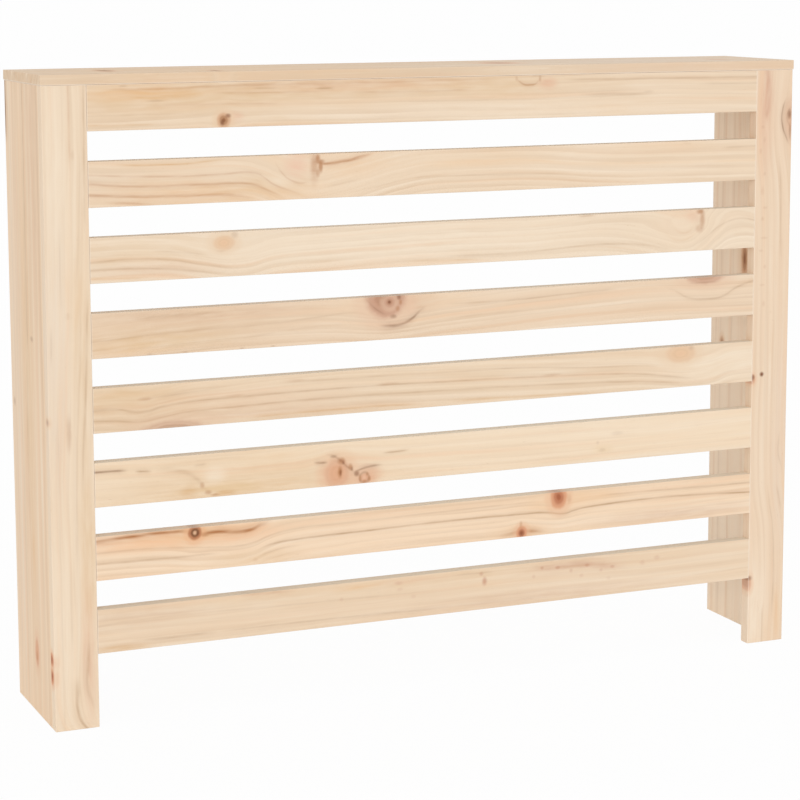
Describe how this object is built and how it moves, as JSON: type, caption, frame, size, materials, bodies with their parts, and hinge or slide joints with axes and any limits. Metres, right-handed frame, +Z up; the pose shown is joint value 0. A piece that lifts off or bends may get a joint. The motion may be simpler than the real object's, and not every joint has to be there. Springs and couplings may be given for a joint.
{
  "type": "radiator cover cabinet",
  "caption": "Freestanding slatted pine radiator cover with an open back, level front slats between two stiles, plain side panels and a thin shelf top.",
  "frame": {"origin": "on the floor, below the middle of the top board", "axes": "+X along the slats to the right as seen from the front, +Y from the slatted front to the open back at the wall, +Z up"},
  "size_m": [1.085, 0.19, 0.84],
  "materials": {
    "slat_pine": "planed, unfinished",
    "stile_pine": "planed, unfinished",
    "panel_pine": "planed, unfinished",
    "top_pine": "planed, unfinished",
    "batten_pine": "sawn, unfinished",
    "beech_dowel": "turned and fluted",
    "zinc_steel": "zinc plated"
  },
  "bodies": {
    "root": {"top_board": "top_pine", "left_stile": "stile_pine", "left_side_panel": "panel_pine", "left_corner_batten": "batten_pine", "left_top_cleat": "batten_pine", "right_stile": "stile_pine", "right_side_panel": "panel_pine", "right_corner_batten": "batten_pine", "right_top_cleat": "batten_pine", "slat_1": "slat_pine", "slat_2": "slat_pine", "slat_3": "slat_pine", "slat_4": "slat_pine", "slat_5": "slat_pine", "slat_6": "slat_pine", "slat_7": "slat_pine", "slat_8": "slat_pine", "slat_1_left_upper_dowel": "beech_dowel", "slat_1_left_lower_dowel": "beech_dowel", "slat_1_right_upper_dowel": "beech_dowel", "slat_1_right_lower_dowel": "beech_dowel", "slat_2_left_upper_dowel": "beech_dowel", "slat_2_left_lower_dowel": "beech_dowel", "slat_2_right_upper_dowel": "beech_dowel", "slat_2_right_lower_dowel": "beech_dowel", "slat_3_left_upper_dowel": "beech_dowel", "slat_3_left_lower_dowel": "beech_dowel", "slat_3_right_upper_dowel": "beech_dowel", "slat_3_right_lower_dowel": "beech_dowel", "slat_4_left_upper_dowel": "beech_dowel", "slat_4_left_lower_dowel": "beech_dowel", "slat_4_right_upper_dowel": "beech_dowel", "slat_4_right_lower_dowel": "beech_dowel", "slat_5_left_upper_dowel": "beech_dowel", "slat_5_left_lower_dowel": "beech_dowel", "slat_5_right_upper_dowel": "beech_dowel", "slat_5_right_lower_dowel": "beech_dowel", "slat_6_left_upper_dowel": "beech_dowel", "slat_6_left_lower_dowel": "beech_dowel", "slat_6_right_upper_dowel": "beech_dowel", "slat_6_right_lower_dowel": "beech_dowel", "slat_7_left_upper_dowel": "beech_dowel", "slat_7_left_lower_dowel": "beech_dowel", "slat_7_right_upper_dowel": "beech_dowel", "slat_7_right_lower_dowel": "beech_dowel", "slat_8_left_upper_dowel": "beech_dowel", "slat_8_left_lower_dowel": "beech_dowel", "slat_8_right_upper_dowel": "beech_dowel", "slat_8_right_lower_dowel": "beech_dowel", "left_batten_screw_upper": "zinc_steel", "left_batten_screw_middle": "zinc_steel", "left_batten_screw_lower": "zinc_steel", "right_batten_screw_upper": "zinc_steel", "right_batten_screw_middle": "zinc_steel", "right_batten_screw_lower": "zinc_steel", "left_cleat_screw_front": "zinc_steel", "left_cleat_screw_rear": "zinc_steel", "right_cleat_screw_front": "zinc_steel", "right_cleat_screw_rear": "zinc_steel"}
  },
  "joints": []
}
